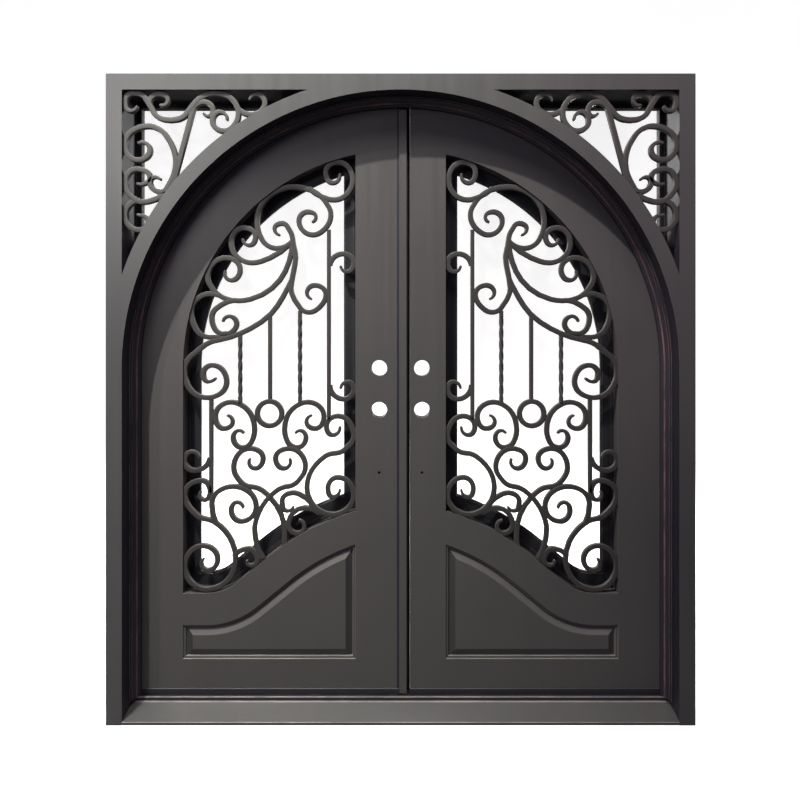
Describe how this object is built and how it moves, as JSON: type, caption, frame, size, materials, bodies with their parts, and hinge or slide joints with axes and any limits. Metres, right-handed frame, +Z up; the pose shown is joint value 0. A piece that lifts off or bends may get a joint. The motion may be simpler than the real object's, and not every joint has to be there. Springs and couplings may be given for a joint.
{
  "type": "arched double door",
  "caption": "Forged iron double entry door with an arched doorway in a square frame, scrollwork grilles over glass and raised lower panels.",
  "frame": {"origin": "middle of the sill's underside, halfway through the frame's depth", "axes": "+Z up, +Y inwards through the doorway, +X to the right seen from outside"},
  "size_m": [1.88, 0.175, 2.078],
  "materials": {
    "frame_paint": "satin dark bronze with rubbed edges",
    "leaf_paint": "satin dark bronze",
    "sash_paint": "satin near black",
    "scrollwork": "satin dark bronze, forged and rubbed",
    "glass": "clear",
    "seal": "matte black"
  },
  "bodies": {
    "frame": {"left_jamb": "frame_paint", "right_jamb": "frame_paint", "head": "frame_paint", "left_arch_corner": "frame_paint", "right_arch_corner": "frame_paint", "left_stop": "frame_paint", "right_stop": "frame_paint", "left_arch_stop": "frame_paint", "right_arch_stop": "frame_paint", "left_seal": "seal", "right_seal": "seal", "sill": "frame_paint", "sill_stop": "frame_paint", "left_corner_sash": "sash_paint", "right_corner_sash": "sash_paint", "left_corner_glass": "glass", "right_corner_glass": "glass", "left_jamb_knuckles": "frame_paint", "right_jamb_knuckles": "frame_paint", "left_corner_grille": "scrollwork", "right_corner_grille": "scrollwork"},
    "left_leaf": {"left_hinge_stile": "leaf_paint", "left_arch_rail": "leaf_paint", "left_mid_rail": "leaf_paint", "left_bottom_rail": "leaf_paint", "left_lock_stile": "leaf_paint", "left_panel": "leaf_paint", "left_sash": "sash_paint", "left_glass": "glass", "left_leaf_knuckles": "frame_paint", "left_grille": "scrollwork", "meeting_strip": "leaf_paint", "meeting_seal": "seal", "left_twisted_bars": "scrollwork"},
    "right_leaf": {"right_hinge_stile": "leaf_paint", "right_arch_rail": "leaf_paint", "right_mid_rail": "leaf_paint", "right_bottom_rail": "leaf_paint", "right_lock_stile": "leaf_paint", "right_panel": "leaf_paint", "right_sash": "sash_paint", "right_glass": "glass", "right_leaf_knuckles": "frame_paint", "right_grille": "scrollwork", "right_twisted_bars": "scrollwork"}
  },
  "joints": [
    {"name": "left_leaf_swing", "type": "hinge", "parent": "frame", "child": "left_leaf", "pos_m": [-0.8865, 0.09, 1], "axis": [0, 0, 1], "range_deg": [0, 100]},
    {"name": "right_leaf_swing", "type": "hinge", "parent": "frame", "child": "right_leaf", "pos_m": [0.8865, 0.09, 1], "axis": [0, 0, -1], "range_deg": [0, 100]}
  ]
}
